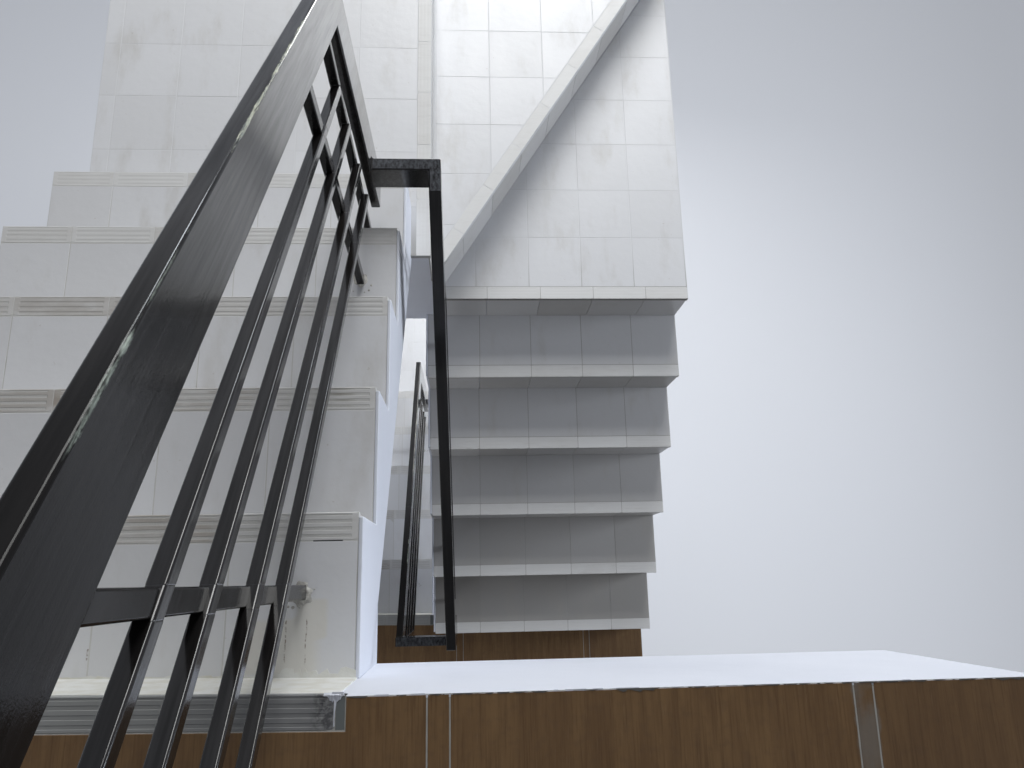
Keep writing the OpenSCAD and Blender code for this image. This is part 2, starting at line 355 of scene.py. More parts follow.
def field(pieces, outline, top, cuts_x, cuts_y, joint=JOINT, uneven=0.001, dull_and_shade=(0.0, 0.1)):
    """Field tiles between the cut lines, kept inside an outline."""
    xs = [-1e3] + sorted(cuts_x) + [1e3]
    ys = [-1e3] + sorted(cuts_y) + [1e3]
    for x0, x1 in zip(xs, xs[1:]):
        for y0, y1 in zip(ys, ys[1:]):
            cell = outline
            for corner, inward in (
                (Vector((x0, 0)), Vector((1, 0))),
                (Vector((x1, 0)), Vector((-1, 0))),
                (Vector((0, y0)), Vector((0, 1))),
                (Vector((0, y1)), Vector((0, -1))),
            ):
                if cell:
                    cell = clipped(cell, corner, inward)
            cell = tidy_outline(cell)
            if len(cell) < 3 or area_of(cell) < 2e-4:
                continue
            cell = tidy_outline(shrunk(cell, joint / 2))
            if len(cell) < 3 or area_of(cell) < 1e-4:
                continue
            lean = (chance.gauss(0, uneven), chance.gauss(0, uneven))
            tone = chance.uniform(*dull_and_shade)
            slab(pieces, cell, top - TILE_UP, top - 0.0002, TILE_BEVEL, 0, tone, lean)


def nosing(pieces, start, end, top, joints, tones=(), soil=1.0, ribs=1.0, slant=(0.0, 0.0)):
    """Grooved nosing tiles whose front edge runs from start to end, with the
    tread on the left. A tone near 1 is a stained tile, soil the dirt in the
    grooves and ribs their depth; slant moves the back corners along the edge."""
    along = (end - start).normalized()
    inward = Vector((-along.y, along.x))
    length = (end - start).length
    half = JOINT / 2
    # distance from the edge, height and dirt of each point of the section
    profile = [(0.0, -TILE_UP, 0.0), (0.0, -0.0022, 0.0)]
    profile += [(0.0006, -0.0006, 0.0), (0.0022, 0.0, 0.0)]
    for near, far in GROOVES:
        dirty = soil * (1.0 if near < 0.01 else 0.6)
        bottom = (near + GROOVE_WALL, 1.0), (far - GROOVE_WALL, 1.0)
        for d, down in ((near, 0.0), *bottom, (far, 0.0)):
            profile.append((d, -GROOVE_DEEP * ribs * down, dirty * max(down, 0.3)))
    behind = NOSING_DEEP - half
    profile += [(behind - TILE_BEVEL, 0.0, 0.0), (behind, -TILE_BEVEL, 0.0)]
    profile.append((behind, -TILE_UP, 0.0))
    stops = [0.0] + sorted(joints) + [length]
    for tile, (u0, u1) in enumerate(zip(stops, stops[1:])):
        a, b = u0 + half, u1 - half
        run = min(GROOVE_STOP, (b - a) / 4)
        inner = run + GROOVE_RUN_OUT
        tone = tones[tile] if tile < len(tones) else 0.15 * chance.random()
        points, dirt = [], []
        sections = [(a, 0), (a + run, 0), (a + inner, 1), (b - inner, 1), (b - run, 0), (b, 0)]
        for u, ribbed in sections:
            for d, z, dirty in profile:
                if dirty:
                    z *= ribbed
                elif u in (a, b) and z == 0.0:
                    z = -TILE_BEVEL
                dirt.append(dirty * ribbed)
                first = slant[0] * d * (b - u) / (b - a) if u0 == 0.0 else 0.0
                last = slant[1] * d * (u - a) / (b - a) if u1 == length else 0.0
                p = start + along * (u + first + last) + inward * d
                points.append((p.x, p.y, top - 0.0001 + z))
        n, m = len(profile), len(sections)
        faces = [list(range(n)), [(m - 1) * n + i for i in range(n)][::-1]]
        for s in range(m - 1):
            for i in range(n):
                j = (i + 1) % n
                faces.append([s * n + i, (s + 1) * n + i, (s + 1) * n + j, s * n + j])
        pieces.add(points, faces, 1, dirt, tone)


RISER_TILE = 0.005
RISER_BACK = 0.008
RISER_GAP = 0.001


def riser(pieces, start, end, low, high, joints):
    """Upright tiles under a nosing, which runs from start to end."""
    along = (end - start).normalized()
    inward = Vector((-along.y, along.x))
    stops = [0.0] + sorted(joints) + [(end - start).length]
    for u0, u1 in zip(stops, stops[1:]):
        a, b = u0 + JOINT / 2, u1 - JOINT / 2
        front, back = RISER_BACK - RISER_TILE, RISER_BACK
        spots = ((a, front), (b, front), (b, back), (a, back))
        outline = [start + along * u + inward * d for u, d in spots]
        tone = chance.uniform(0.3, 0.8)
        slab(pieces, outline, low + RISER_GAP, high - RISER_GAP, 0.0005, 0, tone)


def tone_of(name):
    return Shade.node("Attribute", {"attribute_name": name}, out="Fac")


FIRST_STEP = 5.40


def mark(x, y, wide, deep):
    """A soft-edged spot on the first step, with a broken outline."""
    wander = cloud(0.02, detail=3.0, rough=0.6) * 0.006 - 0.003
    across = (axis("X") + wander).near(x, wide / 2, wide / 2)
    along = (axis("Y") + wander).near(y, deep / 2, deep / 4)
    return across * along * axis("Z").near(FIRST_STEP, 0.005, 0.005)


GLAZE = (0.68, 0.69, 0.715)
GLAZE_DULLED_AND_SHADED = (0.36, 0.35, 0.335)
GREASE = (0.42, 0.40, 0.36)
STAIN = (0.33, 0.29, 0.24)
CREAM = (0.66, 0.63, 0.54)
RUST = (0.20, 0.15, 0.11)

stair_tile = finish_named("stair_tile")
smears = cloud(0.09, stretched(1.0, 0.35, 1.0), detail=5.0, rough=0.6)
specks = cloud(0.012, detail=2.0)
# the tone dulls the glaze at random, and on the lower steps of the second flights it is painted
# shade
glaze = mix(tone_of("tone"), GLAZE, GLAZE_DULLED_AND_SHADED)
glaze = mix(smears.band(0.5, 0.8) * 0.4, glaze, GREASE)
glaze = mix(specks.band(0.72, 0.8) * 0.3, glaze, STAIN)
# cream paint wiped over the first step, and rust that ran down its tiles
cream = mark(-0.655, 0.00, 0.09, 0.07) + mark(-0.60, 0.045, 0.035, 0.05)
glaze = mix(cream.band(0.1, 1.0) * 0.5, glaze, CREAM)
streaks = mark(-0.641, 0.010, 0.0016, 0.055) + mark(-0.608, 0.008, 0.0014, 0.055)
streaks = streaks + mark(-0.957, -0.004, 0.0016, 0.014)
broken = cloud(0.006, stretched(0.3, 1.0, 1.0), detail=4.0).band(0.38, 0.6)
glaze = mix(streaks.band(0.2, 0.9) * broken * 0.8, glaze, RUST)
surface(
    {
        "Base Color": mix(tone_of("dirt") * 0.25, glaze, (0.34, 0.33, 0.31)),
        "Roughness": smears * 0.25 + 0.25,
        "Normal": bump(cloud(0.03), 0.0006),
    }
)

ribbed_tile = finish_named("ribbed_tile")
worn = cloud(0.05, stretched(0.5, 1.0, 1.0), detail=5.0, rough=0.6)
scuffs = cloud(0.012, stretched(0.15, 1.0, 1.0), detail=4.0, rough=0.65)
stained = tone_of("tone") * (worn.band(0.3, 0.6) * 0.7 + 0.3)
body = mix(stained, (0.68, 0.685, 0.685), (0.34, 0.30, 0.26))
body = mix(scuffs.band(0.5, 0.75) * (tone_of("tone") * 0.5 + 0.08), body, (0.33, 0.31, 0.29))
surface(
    {
        "Base Color": mix(tone_of("dirt") * 0.45, body, (0.30, 0.30, 0.30)),
        "Roughness": scuffs * 0.3 + 0.35,
    }
)

grout = finish_named("grout")
grains = cloud(0.003, detail=2.0)
# dirty on the flights and clean on the turn, with one joint open on the first step
old = cloud(0.18, detail=4.0).band(0.56, 0.72) * axis("Y").band(1.35, 1.0)
open_joint = axis("X").near(-0.577, 0.024, 0.002) * axis("Y").near(0.1722, 0.002, 0.001)
open_joint = open_joint * axis("Z").near(FIRST_STEP, 0.01, 0.01)
seam = mix(axis("X").band(-0.53, -0.51), (0.57, 0.57, 0.56), (0.37, 0.365, 0.355))
seam = mix(axis("Y").band(1.1, 1.35), seam, (0.65, 0.66, 0.68))
seam = mix(old, seam, (0.36, 0.35, 0.32))
surface(
    {
        "Base Color": mix(open_joint, seam, (0.05, 0.05, 0.05)),
        "Roughness": 0.9,
        "Normal": bump(grains, 0.0004),
    }
)

tile_set = [stair_tile, ribbed_tile, grout]
chance = random.Random(41)


def corners(*pairs):
    return [Vector(p) for p in pairs]


def rectangle(x0, y0, x1, y1):
    return corners((x0, y0), (x1, y0), (x1, y1), (x0, y1))


def bed(pieces, outline, low, top):
    """Mortar bed, whose top shows as the grout in the joints."""
    slab(pieces, outline, low, top - GROUT_LOW, 0.0004, 2, 0.5)


def lay(name, pieces, materials):
    """Builds the tiles that stand for a node of the frame."""
    tiled = pieces.build(name + "_tiles", materials)
    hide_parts(name)


A_MODULE = 0.2135
B_MODULE = 0.202
RISE = 0.2
A_STAINS = {
    1: (0.15, 0.75, 0.85, 0.5, 0.4),
    2: (0.2, 0.55, 0.95, 0.6, 0.4),
    3: (0.25, 0.3, 0.6, 0.5, 0.3),
}
A_STAIN = (0.15, 0.1, 0.25)
# depth left in the grooves and dirt in them, from the first step down
A_GROOVES = ((0.8, 1.0), (0.8, 0.9), (0.55, 0.6), (0.35, 0.3), (0.25, 0.2))
for storey in ("upper", "lower"):
    risers = Pieces()
    for k in range(1, 6):
        name = f"{storey}_tread_{k:02d}"
        low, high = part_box(name)
        pieces = Pieces()
        bed(pieces, rectangle(low.x, low.y, high.x, high.y - 0.0005), low.z, high.z)
        shift = chance.uniform(-0.004, 0.004)
        cuts = [high.x - A_MODULE * i + shift for i in range(1, 5)]
        field(pieces, rectangle(low.x, low.y, high.x, high.y - NOSING_DEEP), high.z, cuts, [])
        edge = (Vector((high.x, high.y)), Vector((low.x, high.y)))
        joints = [A_MODULE * i - shift for i in range(1, 5)]
        ribs, soil = A_GROOVES[k - 1]
        nosing(pieces, *edge, high.z, joints, A_STAINS.get(k, A_STAIN), soil=soil, ribs=ribs)
        riser(risers, *edge, high.z - RISE, low.z, joints)
        lay(name, pieces, tile_set)
    for k in range(9, 14):
        name = f"{storey}_tread_{k:02d}"
        low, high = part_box(name)
        pieces = Pieces()
        bed(pieces, rectangle(low.x, low.y + 0.0005, high.x, high.y), low.z, high.z)
        shift = chance.uniform(-0.003, 0.003)
        cuts = [low.x + B_MODULE * i + shift for i in range(1, 5)]
        # painted shade: each step down is darker than the one above, as the well grows darker
        # towards its foot
        dull_and_shade = (0.17 * k - 1.3, 0.17 * k - 1.2)
        main = rectangle(low.x, low.y + NOSING_DEEP, high.x, high.y)
        field(pieces, main, high.z, cuts, [], dull_and_shade=dull_and_shade)
        edge = (Vector((low.x, low.y)), Vector((high.x, low.y)))
        joints = [B_MODULE * i + shift for i in range(1, 5)]
        nosing(pieces, *edge, high.z, joints, soil=0.05, ribs=0.15)
        riser(risers, *edge, high.z - RISE, low.z, joints)
        lay(name, pieces, tile_set)
    risers.build(f"{storey}_flight_risers", tile_set)

# The turn: quarter landing, upper winder and lower winder, covered with the
# same tiles cut along the walls and the diagonal, each edge with its nosing.

SQUARE = 0.2
PIVOT_GAP = 0.012


def courses(start, first, last, way=1):
    """Lines of joints one tile apart, from the first to before the last."""
    return [start + way * SQUARE * i for i in range(first, last)]


for storey in ("upper", "lower"):
    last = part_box(f"{storey}_tread_05")[1]
    land_low, land_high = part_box(f"{storey}_tread_06")
    wind_low, wind_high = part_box(f"{storey}_tread_07")
    foot_low, foot_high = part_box(f"{storey}_tread_08")
    edge_x, front, back = land_high.x, land_low.y, land_high.y
    # the landing's bed reaches under the last step, behind its riser
    start_x, start_y = last.x + RISER_BACK, last.y - RISER_BACK
    risers = Pieces()
    steps = courses(0.0, 1, 9)

    pieces = Pieces()
    bed(pieces, rectangle(land_low.x, start_y, edge_x, back), land_low.z, land_high.z)
    bed(pieces, rectangle(start_x, front, edge_x, start_y), land_low.z, land_high.z)
    main = rectangle(land_low.x, start_y, edge_x - NOSING_DEEP, back)
    rows = courses(front + 0.571, -3, 6)
    columns = courses(edge_x - NOSING_DEEP, 0, 6, -1)
    field(pieces, main, land_high.z, columns, rows)
    edge = (Vector((edge_x, front)), Vector((edge_x, back)))
    nosing(pieces, *edge, land_high.z, steps[:7], soil=0.02, ribs=0.1)
    riser(risers, *edge, wind_high.z, land_low.z, steps[:7])
    lay(f"{storey}_tread_06", pieces, tile_set)

    pieces = Pieces()
    pivot, far = Vector((edge_x, front)), Vector((wind_high.x, back))
    along = (far - pivot).normalized()
    inward = Vector((-along.y, along.x))
    bed_x = edge_x - RISER_BACK
    outline = corners((bed_x, front), (edge_x, front), (wind_high.x, back), (bed_x, back))
    bed(pieces, outline, wind_low.z, wind_high.z)
    wedge = corners((edge_x, front), (wind_high.x, back), (edge_x, back))
    rows = courses(front + 0.204, -1, 8)
    columns = courses(edge_x + 0.206, -1, 6)
    main = clipped(wedge, pivot + inward * NOSING_DEEP, inward)
    field(pieces, main, wind_high.z, columns, rows)
    slant = (along.y / along.x, -along.x / along.y)
    nosing(pieces, pivot, far, wind_high.z, steps, soil=0.02, ribs=0.1, slant=slant)
    riser(risers, pivot, far - along * 0.006, foot_high.z, wind_low.z, steps)
    lay(f"{storey}_tread_07", pieces, tile_set)

    pieces = Pieces()
    point = (edge_x, front + PIVOT_GAP)
    outline = corners((foot_low.x, front), (foot_high.x, front), (foot_high.x, back), point)
    bed(pieces, outline, foot_low.z, foot_high.z)
    main = clipped(outline, Vector((0.0, front + NOSING_DEEP)), Vector((0, 1)))
    rows = courses(front + 0.248, -1, 8)
    columns = courses(edge_x + 0.35, -2, 6)
    field(pieces, main, foot_high.z, columns, rows)
    edge = (Vector((foot_low.x, front)), Vector((foot_high.x, front)))
    nosing(pieces, *edge, foot_high.z, steps[:4], soil=0.05, ribs=0.1)
    riser(risers, *edge, foot_high.z - RISE, foot_low.z, steps[:4])
    lay(f"{storey}_tread_08", pieces, tile_set)
    risers.build(f"{storey}_turn_risers", tile_set)

# The floors at the edge of the well: porcelain tiles printed like oak boards
# with white joints, and a grey ribbed strip at the head of each first flight,
# scuffed dark at its end, with a small offcut of tile beside it.

OAK = (0.215, 0.128, 0.058)
OAK_DARK = (0.145, 0.082, 0.037)
OAK_KNOTS = (0.11, 0.068, 0.040)
OAK_FIBRE = (0.100, 0.054, 0.024)
OAK_PORE = (0.27, 0.18, 0.10)

board_tile = finish_named("board_tile")
fibres = cloud(0.0035, stretched(1.0, 0.03, 1.0), detail=5.0, rough=0.65)
flame = cloud(0.03, stretched(1.0, 0.12, 1.0), detail=4.0, rough=0.6)
pores = cloud(0.0016, stretched(1.0, 0.05, 1.0), detail=3.0)
wood = mix(flame.band(0.3, 0.7), OAK, OAK_DARK)
wood = mix(cloud(0.014, detail=5.0).band(0.45, 0.75) * 0.3, wood, OAK_KNOTS)
wood = mix(fibres.band(0.45, 0.7) * 0.62, wood, OAK_FIBRE)
wood = mix(pores.band(0.6, 0.75) * 0.35, wood, OAK_PORE)
# painted shade: the boards are darker from the middle of the narrow tile to the right
wood = mix(axis("X").band(0.226, 0.228) * 0.3, wood, (0.10, 0.058, 0.030))
# a film of grout left on the narrow tile of the top floor
wander = cloud(0.03, detail=4.0) * 0.02
film = (axis("X") + wander).near(0.2385, 0.014, 0.006) * cloud(0.05, detail=5.0).band(0.3, 0.6)
wood = mix(film * axis("Z").band(5.0, 5.1) * 0.7, wood, (0.20, 0.185, 0.165))
surface(
    {
        "Base Color": wood,
        "Roughness": fibres * 0.2 + 0.42,
        "Specular IOR Level": 0.3,
        "Normal": bump(fibres, 0.0002),
    }
)

white_grout = finish_named("white_grout")
surface({"Base Color": mix(cloud(0.02), (0.50, 0.50, 0.48), (0.30, 0.29, 0.27)), "Roughness": 0.85})

nosing_tile = finish_named("nosing_tile")
drawn = cloud(0.006, stretched(0.06, 1.0, 1.0), detail=5.0, rough=0.7)
GREY = (0.27, 0.275, 0.28)
GREY_DARK = (0.21, 0.215, 0.22)
OFFCUT_GREY = (0.15, 0.165, 0.165)
body = mix(cloud(0.08, detail=4.0).band(0.3, 0.7), GREY, GREY_DARK)
body = mix(drawn.band(0.5, 0.75) * 0.5, body, (0.34, 0.34, 0.34))
body = mix(drawn.band(0.5, 0.25) * 0.4, body, (0.13, 0.13, 0.13))
grime = axis("X").near(-0.537, 0.006, 0.02) * cloud(0.01, detail=4.0, rough=0.7).band(0.4, 0.6)
body = mix(grime * 0.8, body, (0.05, 0.05, 0.055))
# paler towards the wall, and paler again on the floor below
body = mix(axis("X").band(-0.6, -0.85) * 0.5, body, (0.40, 0.41, 0.40))
body = mix(axis("Z").band(4.0, 3.5) * 0.7, body, (0.50, 0.51, 0.50))
body = mix(tone_of("tone"), body, OFFCUT_GREY)
surface(
    {
        "Base Color": mix(tone_of("dirt") * 0.55, body, (0.10, 0.10, 0.10)),
        "Roughness": drawn * 0.3 + 0.45,
        "Specular IOR Level": 0.35,
    }
)

board_set = [board_tile, nosing_tile, white_grout]
BOARD_CUTS = [-1.028, -0.998, -0.398, -0.366, 0.214, 0.243]
BOARD_JOINT = 0.0024
BOARD_OUT = 0.0068
SKEW = (0.0022, 0.0215)
OFFCUT = 0.0145
for level in ("top", "mid"):
    low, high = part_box(f"{level}_floor_tiles")
    strip_low, strip_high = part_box(f"{level}_nosing")
    end_x, front = strip_high.x, strip_high.y
    right, left = front + SKEW[0] - NOSING_DEEP, front + SKEW[1] - NOSING_DEEP
    edge_y = high.y + BOARD_OUT
    outline = corners((low.x, low.y), (high.x, low.y), (high.x, edge_y), (end_x, edge_y))
    outline += corners((end_x, right), (low.x, left))
    pieces = Pieces()
    slab(pieces, outline, low.z, high.z - 0.0002, 0.0003, 2, 0.5)
    field(pieces, outline, high.z + 0.0006, BOARD_CUTS, [], joint=BOARD_JOINT, uneven=0.0)
    lay(f"{level}_floor_tiles", pieces, board_set)

    pieces = Pieces()
    outline = corners((low.x, left), (end_x, right), (end_x, front), (low.x, front))
    slab(pieces, outline, low.z, high.z - GROUT_LOW, 0.0003, 2, 0.5)
    edge = corners((end_x - OFFCUT, front + SKEW[0]), (strip_low.x, front + SKEW[1]))
    joints = [A_MODULE * i for i in range(1, 5)]
    nosing(pieces, *edge, high.z, joints, (0.0,) * 5, soil=0.35, ribs=0.55)
    offcut = rectangle(end_x - OFFCUT + 0.0012, right + 0.001, end_x, front)
    slab(pieces, offcut, low.z, high.z - 0.0004, TILE_BEVEL, 1, 1.0)
    lay(f"{level}_nosing", pieces, board_set)

# Wall paint that ran over the edges of the tiles: a thin ragged lap along the
# floor's edge and at the foot of the first riser, and the chips broken out of
# the tiles' edge, where the dark mortar shows.

chip = finish_named("chip")
broken_out = mix(cloud(0.01, detail=4.0), (0.06, 0.06, 0.065), (0.17, 0.165, 0.15))
surface({"Base Color": broken_out, "Roughness": 0.9})


def ragged(pieces, start, end, reach, top, slot, under=0.002, thick=0.0004):
    """A thin film from start to end, whose left side is torn to about reach."""
    along = (end - start).normalized()
    side = Vector((-along.y, along.x))
    spots, u = [], 0.0
    while u < (end - start).length:
        spots.append(u)
        u += chance.choice((0.0015, 0.004, 0.009, 0.014))
    spots.append((end - start).length)
    points = []
    for i, u in enumerate(spots):
        fade = 0.3 if i in (0, len(spots) - 1) else 1.0
        inner = start + along * u - side * under
        outer = start + along * u + side * reach * chance.uniform(0.25, 1.0) * fade
        points += [(*inner, top + thick), (*outer, top + thick), (*outer, top)]
    faces = []
    for i in range(len(spots) - 1):
        a = 3 * i
        faces += [[a, a + 3, a + 4, a + 1], [a + 1, a + 4, a + 5, a + 2]]
    pieces.add(points, faces, slot, [0.0] * len(points), 0.0)


laps = Pieces()
edge_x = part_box("top_beam")[1].x
beam_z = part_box("top_beam")[1].z
strip_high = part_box("top_nosing")[1]
step_low, step_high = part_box("upper_tread_01")
edge_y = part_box("top_floor_tiles")[1].y + BOARD_OUT
strip_y = strip_high.y

# along the floor's edge: paint, or a chip, with bare edge between them
x = strip_high.x
while x < edge_x - 0.01:
    wide = chance.uniform(0.006, 0.035)
    kind = chance.choice((0, 1, 1, 1))
    lap = corners((min(x + wide, edge_x), edge_y), (x, edge_y))
    ragged(laps, *lap, 0.0012 + 0.0014 * kind, beam_z + 0.0005, kind, under=0.0012 * (kind == 0))
    x += wide + chance.uniform(0.0, 0.01)

# the larger chips: their two ends, and how far they reach into the tile
CHIPS = (
    (-0.355, -0.304, 0.0015),
    (-0.192, -0.153, 0.002),
    (-0.131, -0.075, 0.005),
    (0.05, 0.096, 0.002),
    (0.222, 0.319, 0.0025),
    (0.426, 0.49, 0.004),
)
for x0, x1, reach in CHIPS:
    ragged(laps, *corners((x1, edge_y), (x0, edge_y)), reach, beam_z + 0.0006, 1, under=0.0)

# over the joint between the strip and its offcut, and down along that joint
gap = strip_high.x - OFFCUT
lap = corners((gap + 0.012, strip_y + 0.003), (gap - 0.004, strip_y + 0.003))
ragged(laps, *lap, 0.011, beam_z + 0.0002, 0)
lap = corners((gap - 0.0005, strip_y), (gap - 0.0005, strip_y - 0.04))
ragged(laps, *lap, 0.003, beam_z + 0.0001, 0, under=0.0005)

# at the foot of the first riser, wide near the well and narrow to the wall
bend = (step_high.x - 0.14, strip_y + 0.005)
lap = corners(bend, (step_high.x + 0.002, strip_y + 0.002))
ragged(laps, *lap, 0.017, step_high.z, 2, thick=0.0012)
lap = corners((step_low.x, strip_y + 0.023), bend)
ragged(laps, *lap, 0.005, step_high.z, 2, thick=0.0008)

# a blot of paint that hangs over the strip's end, thickest at the joint
blot, x = [], gap + 0.013
while x > gap - 0.016:
    share = max(0.04, 1 - ((x - gap) / 0.011) ** 2) * chance.uniform(0.5, 1.0)
    blot += [
        (x, strip_y + 0.001, beam_z - 0.014),
        (x, strip_y + 0.004, beam_z - 0.002),
        (x, strip_y + 0.001, beam_z + 0.003 * share),
        (x, strip_y - 0.011 * share, beam_z + 0.0002),
    ]
    x -= 0.0018
bands = [[i, i + 1, i + 5, i + 4] for i in range(len(blot) - 4) if i % 4 < 3]
laps.add(blot, bands, 0, [0.0] * len(blot), 0.0)
laps.build("paint_laps", [painted_plaster, chip, old_paint])

# The railing: flat rectangular tube for the handrail, square bars and posts
# welded between, brushed with dark gloss enamel that has worn pale along the
# arris of the handrail where hands and furniture rub it.

SLOPE_A = 0.738
SLOPE_B = 0.8
PITCH_A = math.atan(SLOPE_A)
PITCH_B = -math.atan(SLOPE_B)
RAIL_WIDE = 0.025
rail_low, rail_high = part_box("upper_handrail")
lower_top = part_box("lower_handrail")[1].z
arris_x = rail_low.x + RAIL_WIDE
ENAMEL = (0.009, 0.0085, 0.0085)
ENAMEL_THIN = (0.014, 0.013, 0.013)
ENAMEL_BROWN = (0.017, 0.014, 0.012)
DUST_AND_SHEEN = (0.14, 0.15, 0.17)
PRIMER = (0.46, 0.52, 0.46)
PRIMER_RUBBED = (0.66, 0.67, 0.52)
PRIMER_DIRTY = (0.20, 0.23, 0.21)
# where hands wear the arris: place along the rail, reach, fade and strength
WORN = ((0.76, 0.16, 0.12, 1.1), (0.36, 0.085, 0.02, 0.6), (0.225, 0.035, 0.03, 1.0))


def arris_z(top):
    return rail_low.y * math.sin(PITCH_A) + top * math.cos(PITCH_A)


def enamel(name, sheen):
    """The railing's paint, with sheen 1 where it is still glossy."""
    made = finish_named(name)
    brushed_a = cloud(0.008, stretched(1.0, 0.04, 1.0, PITCH_A), detail=5.0, rough=0.65)
    brushed_b = cloud(0.008, stretched(1.0, 0.04, 1.0, PITCH_B), detail=5.0, rough=0.65)
    second = axis("X").band(arris_x + 0.08, arris_x + 0.1)
    brushed = brushed_a * (1.0 - second) + brushed_b * second
    blotches = cloud(0.11, stretched(1.0, 0.4, 1.0, PITCH_A), detail=4.0)
    turned_z = axis("Z", stretched(1.0, 1.0, 1.0, PITCH_A))
    rubbed = cloud(0.02, stretched(1.0, 0.4, 1.0, PITCH_A), detail=6.0, rough=0.75)
    along = axis("Y")
    worn = [along.near(y, reach, soft) * strength for y, reach, soft, strength in WORN]
    worn_here = worn[0] + worn[1] + worn[2]
    width = (rubbed.band(0.25, 0.75) * 0.005 + 0.0018) * worn_here
    off_x = (axis("X") - arris_x).math("ABSOLUTE")
    off_upper = (turned_z - arris_z(rail_high.z)).math("ABSOLUTE")
    off_lower = (turned_z - arris_z(lower_top)).math("ABSOLUTE")
    off_z = off_upper.math("MINIMUM", off_lower)
    streaky = cloud(0.0025, stretched(1.0, 0.08, 1.0, PITCH_A), detail=4.0, rough=0.6)
    bare = (width - (off_x * 1.5).math("MAXIMUM", off_z)).band(0.0, 0.003) * streaky.band(0.3, 0.6)
    flakes = cloud(0.004, stretched(1.0, 0.15, 1.0, PITCH_A), detail=4.0, rough=0.7)
    paint = mix(brushed.band(0.35, 0.7), ENAMEL, ENAMEL_THIN)
    paint = mix(blotches.band(0.5, 0.7) * 0.5, paint, ENAMEL_BROWN)
    # dust, and a painted sheen of the sky, lighten the tops of the level tubes
    facing = Shade.node("NewGeometry", out="Normal")
    dust_and_sheen = axis("Z", facing).band(0.93, 0.99) * brushed.band(0.2, 0.8)
    paint = mix(dust_and_sheen * 0.7, paint, DUST_AND_SHEEN)
    primer = mix(along.band(0.35, 0.6), PRIMER, PRIMER_RUBBED)
    primer = mix(flakes.band(0.35, 0.65), primer, PRIMER_DIRTY)
    # the bars below the handrail and its far end have kept their gloss
    far_end = along.band(0.1, 0.6) * (1.0 - second * 0.6)
    bars = off_z.band(0.1, 0.11) * (1.0 - second)
    streaks = brushed.band(0.3, 0.7) * 0.35 + 0.45
    glossy = far_end.math("MAXIMUM", bars) * axis("Y", facing).band(0.95, 0.7) * streaks * sheen
    brush_marks = bump(brushed, 0.00022, bump(blotches, 0.0012))
    surface(
        {
            "Base Color": mix(bare * 0.85, paint, primer),
            "Roughness": brushed * 0.12 + bare * 0.35 + 0.08,
            "Specular IOR Level": 0.1,
            "Coat Weight": glossy,
            "Coat Roughness": 0.1,
            "Normal": bump(cloud(0.0022, detail=2.0), 0.00006, brush_marks),
        }
    )
    return made


railing_paint = enamel("railing_paint", 1.0)
post_paint = enamel("post_paint", 0.1)
RAIL_CORNER = 0.0042
BAR_CORNER = 0.003
for storey in ("upper", "lower"):
    dress(f"{storey}_handrail", railing_paint, RAIL_CORNER, 4)
    dress(f"{storey}_bars", railing_paint, BAR_CORNER, 4)
    dress(f"{storey}_posts", post_paint, BAR_CORNER, 4)

# Welds round the ends of the bars, left as lumpy beads and painted over, and
# the short lengths of bar that show where they run on across a leaning post.

POST_NARROW = 0.01
POST_WIDE = 0.04
SLACK = 0.004
WELD = 0.0009


def on_second(p):
    """Whether a point belongs to the railing of the second flight."""
    return p.x > arris_x + 0.09


def bar_ends(name):
    """The four corners of each end of each bar of a node, in order."""
    mesh = nodes[name].data
    ends = {}
    for polygon in mesh.polygons:
        if abs(polygon.normal.y) > 0.999:
            for i in polygon.vertices:
                p = mesh.vertices[i].co
                key = (round(p.y, 4), on_second(p))
                ends.setdefault(key, set()).add(tuple(round(c, 5) for c in p))
    for points in ends.values():
        ordered = sorted(points, key=lambda p: (p[2], p[0]))
        for i in range(0, len(ordered) - 3, 4):
            a, b, c, d = (Vector(p) for p in ordered[i : i + 4])
            yield [a, b, d, c]


def bead(pieces, ring, radius):
    """Weld round the end of a bar: a lumpy ring along its four sides."""
    middle = sum(ring, Vector()) / 4
    sides, hoops = 6, []
    for a, b in zip(ring, ring[1:] + ring[:1]):
        for share in (0.0, 0.25, 0.5, 0.75):
            p = a.lerp(b, share)
            out = (p - middle).normalized()
            size = radius * chance.uniform(0.5, 1.4)
            for i in range(sides):
                turn = 2 * math.pi * i / sides
                hoops.append(p + size * (math.cos(turn) * out + math.sin(turn) * Vector((0, 1, 0))))
    n = len(hoops)
    faces = []
    for start in range(0, n, sides):
        for i in range(sides):
            j = (i + 1) % sides
            faces.append([start + i, start + j, (start + sides + j) % n, (start + sides + i) % n])
    pieces.add(hoops, faces, 0, [0.0] * n, 0.0)


def runs_on(ring, other, slope):
    """Whether a bar that ends at one ring goes on at the other, past a post."""
    step = other[0] - ring[0]
    in_line = abs(step.x) < SLACK and abs(step.z - slope * step.y) < SLACK
    return POST_NARROW < step.y < POST_WIDE and in_line


for storey in ("upper", "lower"):
    welds, runs = Pieces(), Pieces()
    rings = list(bar_ends(f"{storey}_bars"))
    for ring in rings:
        slope = SLOPE_B if on_second(ring[0]) else -SLOPE_A
        other = next((o for o in rings if runs_on(ring, o, slope)), None)
        if other:
            step = other[0] - ring[0]
            past = step.normalized() * 0.004
            middle = sum(ring, Vector()) / 4
            near = [p + (middle - p) * 0.02 - past for p in ring]
            prism(runs, near, step + 2 * past)
        elif not any(runs_on(o, ring, slope) for o in rings):
            bead(welds, ring, WELD)
    bridged = runs.build(f"{storey}_bar_runs", [railing_paint])
    edges = bridged.modifiers.new("rounded", "BEVEL")
    edges.width, edges.segments = 0.0028, 4
    edges.limit_method = "ANGLE"
    welds.build(f"{storey}_welds", [railing_paint], smooth=True)
